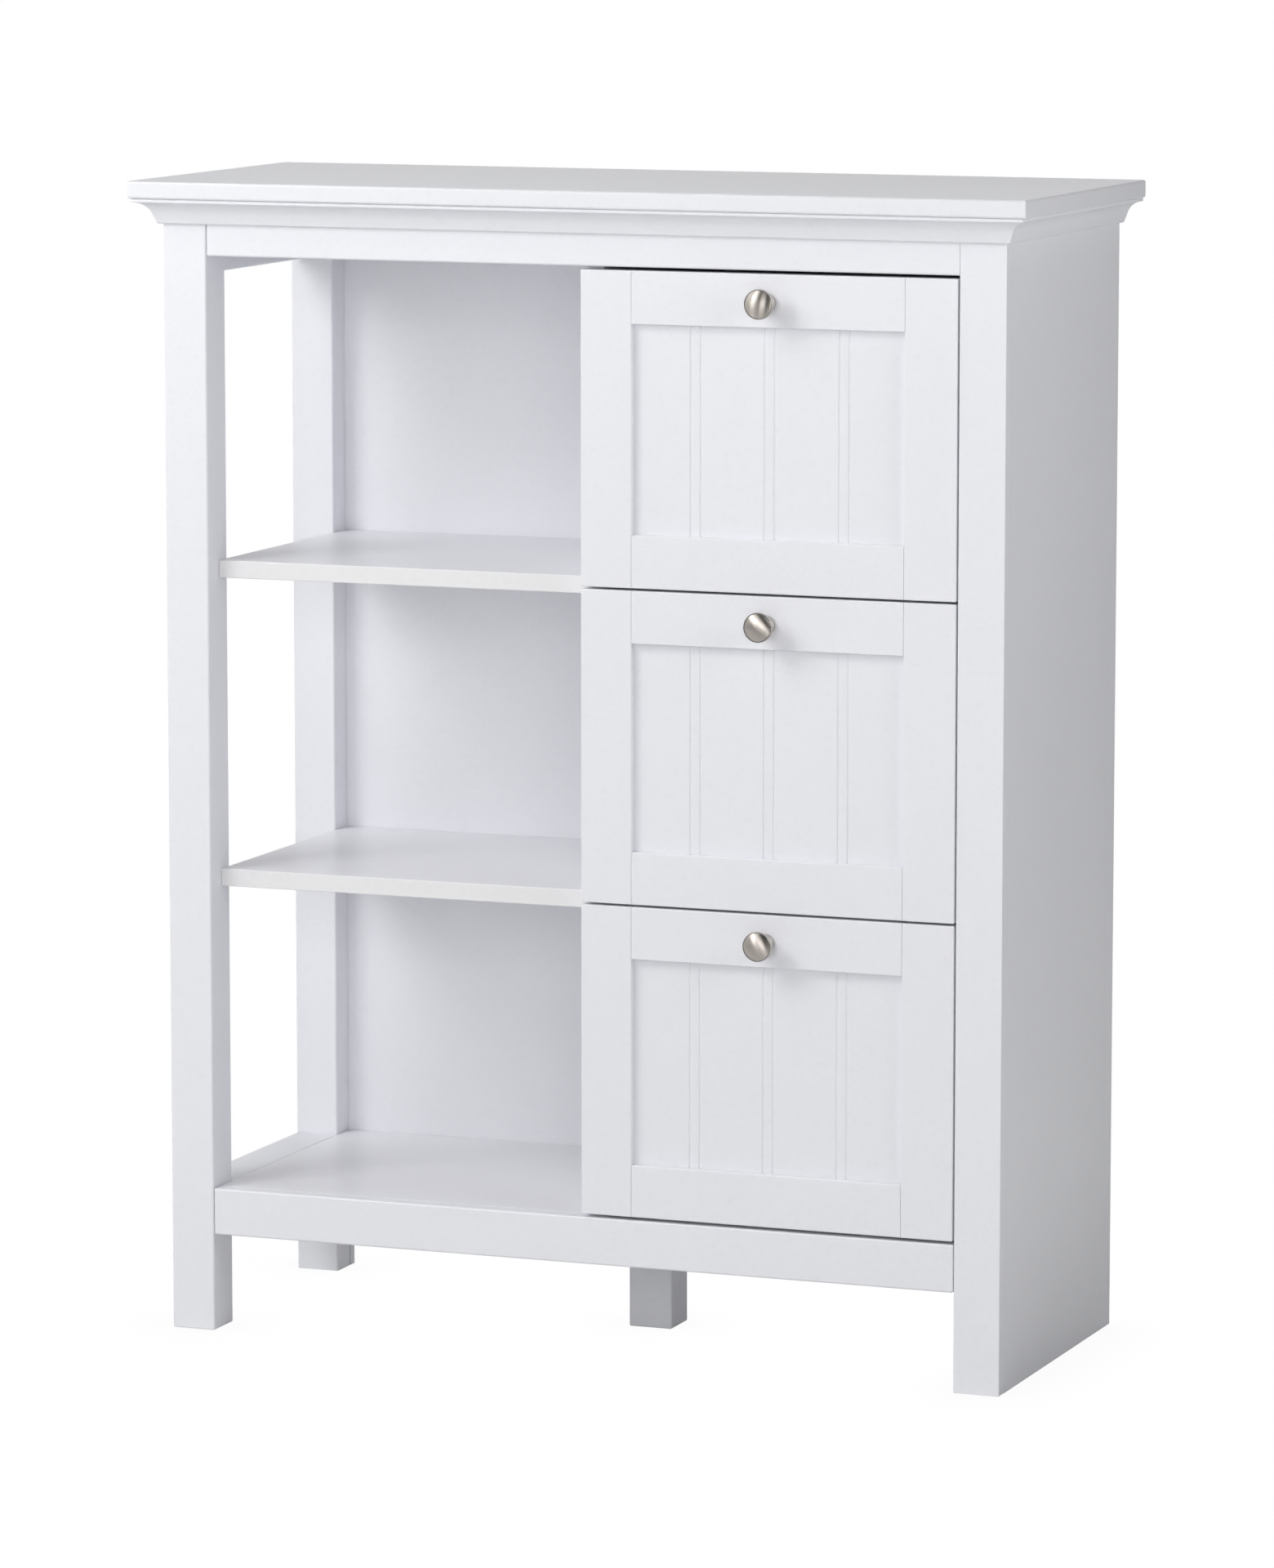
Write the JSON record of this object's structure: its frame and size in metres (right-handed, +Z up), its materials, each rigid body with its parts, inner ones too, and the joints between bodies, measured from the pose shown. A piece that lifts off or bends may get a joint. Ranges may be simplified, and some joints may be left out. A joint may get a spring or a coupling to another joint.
{
  "type": "shelf and drawer cabinet",
  "caption": "Free-standing white lacquered cabinet with an overhanging moulded top, open shelf bays on one side and deep framed drawers with round metal knobs on the other.",
  "frame": {"origin": "on the floor under the middle of the cabinet's bounding box", "axes": "+Z up, drawers open towards -Y, +X to the right when facing the drawers, so the open shelf bays are on the -X side"},
  "size_m": [0.955, 0.397, 1.186],
  "materials": {
    "white_lacquer": "satin white lacquer on MDF",
    "drawer_front_lacquer": "satin white lacquer on MDF",
    "shelf_board": "white lacquered board with a plain edge band",
    "back_board": "white faced thin hardboard",
    "drawer_box_board": "white foil faced board",
    "runner_beech": "waxed beech",
    "knob_nickel": "brushed nickel",
    "screw_zinc": "zinc plated steel"
  },
  "bodies": {
    "carcass": {"top_board": "white_lacquer", "cornice_front": "white_lacquer", "cornice_left": "white_lacquer", "cornice_right": "white_lacquer", "front_top_rail": "white_lacquer", "front_bottom_rail": "white_lacquer", "post_front_left": "white_lacquer", "post_rear_left": "white_lacquer", "side_rail_top_left": "white_lacquer", "side_rail_bottom_left": "white_lacquer", "rear_bottom_rail": "white_lacquer", "stile_front_right": "white_lacquer", "side_panel_right": "white_lacquer", "divider_panel": "white_lacquer", "centre_foot": "white_lacquer", "bottom_panel": "white_lacquer", "shelf_upper": "shelf_board", "shelf_lower": "shelf_board", "back_panel": "back_board", "runner_bottom_left": "runner_beech", "runner_bottom_right": "runner_beech", "runner_middle_left": "runner_beech", "runner_middle_right": "runner_beech", "runner_top_left": "runner_beech", "runner_top_right": "runner_beech"},
    "drawer_bottom": {"drawer_bottom_stile_left": "drawer_front_lacquer", "drawer_bottom_stile_right": "drawer_front_lacquer", "drawer_bottom_rail_top": "drawer_front_lacquer", "drawer_bottom_rail_bottom": "drawer_front_lacquer", "drawer_bottom_panel": "drawer_front_lacquer", "drawer_bottom_side_left": "drawer_box_board", "drawer_bottom_side_right": "drawer_box_board", "drawer_bottom_back": "drawer_box_board", "drawer_bottom_bottom": "drawer_box_board", "drawer_bottom_knob": "knob_nickel", "drawer_bottom_knob_screw": "screw_zinc"},
    "drawer_middle": {"drawer_middle_stile_left": "drawer_front_lacquer", "drawer_middle_stile_right": "drawer_front_lacquer", "drawer_middle_rail_top": "drawer_front_lacquer", "drawer_middle_rail_bottom": "drawer_front_lacquer", "drawer_middle_panel": "drawer_front_lacquer", "drawer_middle_side_left": "drawer_box_board", "drawer_middle_side_right": "drawer_box_board", "drawer_middle_back": "drawer_box_board", "drawer_middle_bottom": "drawer_box_board", "drawer_middle_knob": "knob_nickel", "drawer_middle_knob_screw": "screw_zinc"},
    "drawer_top": {"drawer_top_stile_left": "drawer_front_lacquer", "drawer_top_stile_right": "drawer_front_lacquer", "drawer_top_rail_top": "drawer_front_lacquer", "drawer_top_rail_bottom": "drawer_front_lacquer", "drawer_top_panel": "drawer_front_lacquer", "drawer_top_side_left": "drawer_box_board", "drawer_top_side_right": "drawer_box_board", "drawer_top_back": "drawer_box_board", "drawer_top_bottom": "drawer_box_board", "drawer_top_knob": "knob_nickel", "drawer_top_knob_screw": "screw_zinc"}
  },
  "joints": [
    {"name": "drawer_bottom_slide", "type": "slide", "parent": "carcass", "child": "drawer_bottom", "axis": [0, -1, 0], "range_m": [0, 0.24]},
    {"name": "drawer_middle_slide", "type": "slide", "parent": "carcass", "child": "drawer_middle", "axis": [0, -1, 0], "range_m": [0, 0.24]},
    {"name": "drawer_top_slide", "type": "slide", "parent": "carcass", "child": "drawer_top", "axis": [0, -1, 0], "range_m": [0, 0.24]}
  ]
}
